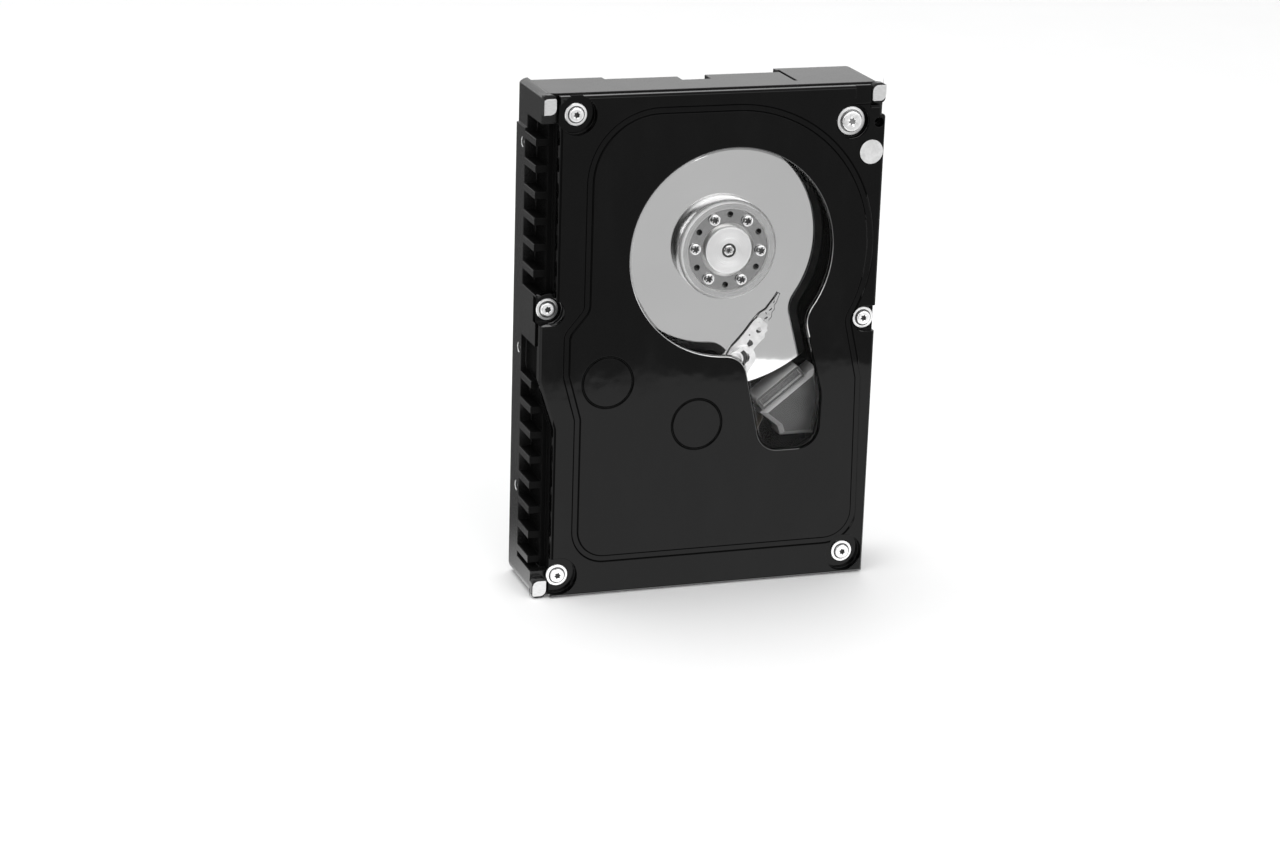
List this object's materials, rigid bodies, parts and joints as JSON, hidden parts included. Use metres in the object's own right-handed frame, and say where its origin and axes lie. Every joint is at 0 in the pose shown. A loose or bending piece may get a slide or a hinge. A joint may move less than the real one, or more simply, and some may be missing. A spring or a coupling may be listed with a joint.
{
  "type": "hard disk drive",
  "caption": "Upright 3.5-inch hard disk drive: black finned casting, glossy cover with a clear window over mirrored disks, clamp and head arm.",
  "frame": {"origin": "middle of the connector end's footprint, on the plane that the drive stands on", "axes": "+Z along the drive's length from the connector end, +X to the right seen from the cover, +Y from the cover to the circuit board"},
  "size_m": [0.1016, 0.0262, 0.147],
  "materials": {
    "casting_black": "satin black coating on cast aluminium, bare on the machined pads",
    "cover_gloss_black": "glossy black coating on aluminium",
    "bond_black": "black bonding film",
    "window_clear": "clear polycarbonate",
    "gasket_rubber": "black rubber",
    "foil_silver": "plain silver foil",
    "screw_nickel": "nickel plate, fine turning marks",
    "board_mask": "green solder mask over copper traces",
    "chip_black": "moulded black package",
    "foam_grey": "dark foam",
    "connector_black": "moulded black",
    "contact_gold": "gold flash",
    "machined_aluminium": "turned aluminium",
    "bearing_steel": "ground steel",
    "lamination_steel": "stacked laminations",
    "coil_copper": "enamelled copper wire",
    "yoke_steel": "nickel-plated steel",
    "magnet_nickel": "nickel-plated magnet",
    "bracket_grey": "moulded dark grey",
    "filter_fabric": "white filter cloth",
    "flex_amber": "polyimide film",
    "platter_mirror": "polished mirror coating",
    "clamp_steel": "turned and polished steel",
    "cap_brushed": "spun brushed face",
    "arm_aluminium": "machined aluminium",
    "frame_plastic": "glass-filled plastic",
    "suspension_steel": "bright stainless sheet",
    "slider_ceramic": "dark ceramic"
  },
  "bodies": {
    "root": {"air_filter": "filter_fabric", "base_casting": "casting_black", "bearing_sleeve": "bearing_steel", "board_foam": "foam_grey", "board_screws": "screw_nickel", "circuit_board": "board_mask", "connector_contacts": "contact_gold", "controller_chip": "chip_black", "cover_gasket": "gasket_rubber", "cover_screws": "screw_nickel", "desiccant_pack": "filter_fabric", "drive_connector": "connector_black", "feed_connector": "connector_black", "filter_holder": "bracket_grey", "flange_screws": "screw_nickel", "flex_bracket": "bracket_grey", "flex_cable": "flex_amber", "foil_seal": "foil_silver", "jumper_header": "connector_black", "jumper_pins": "contact_gold", "lock_screw": "screw_nickel", "lower_magnet": "magnet_nickel", "lower_yoke": "yoke_steel", "memory_chip": "chip_black", "motor_driver_chip": "chip_black", "motor_flange": "machined_aluminium", "pivot_post": "bearing_steel", "pivot_screw": "screw_nickel", "stator_coils": "coil_copper", "stator_core": "lamination_steel", "stop_bumpers": "gasket_rubber", "stop_pins": "bearing_steel", "thrust_cap": "bearing_steel", "top_cover": "cover_gloss_black", "upper_magnet": "magnet_nickel", "upper_yoke": "yoke_steel", "window_bond": "bond_black", "window_lens": "window_clear", "yoke_screws": "screw_nickel", "yoke_spacers": "yoke_steel"},
    "spindle": {"cap_screw": "screw_nickel", "clamp_screws": "screw_nickel", "disk_clamp": "clamp_steel", "lower_platter": "platter_mirror", "rotor_hub": "machined_aluminium", "rotor_magnet": "magnet_nickel", "spacer_ring": "machined_aluminium", "spindle_cap": "cap_brushed", "spindle_shaft": "bearing_steel", "upper_platter": "platter_mirror"},
    "actuator": {"arm_block": "arm_aluminium", "arm_circuit": "flex_amber", "coil_frame": "frame_plastic", "pivot_bearings": "bearing_steel", "pivot_sleeve": "bearing_steel", "preamp_chip": "chip_black", "sliders": "slider_ceramic", "suspensions": "suspension_steel", "voice_coil": "coil_copper"}
  },
  "joints": [
    {"name": "spindle_spin", "type": "hinge", "parent": "root", "child": "spindle", "pos_m": [0.0059, 0, 0.0999], "axis": [0, 1, 0], "continuous": true},
    {"name": "actuator_swing", "type": "hinge", "parent": "root", "child": "actuator", "pos_m": [-0.003, 0, 0.0498], "axis": [0, 1, 0], "range_deg": [0, 22.8]}
  ]
}
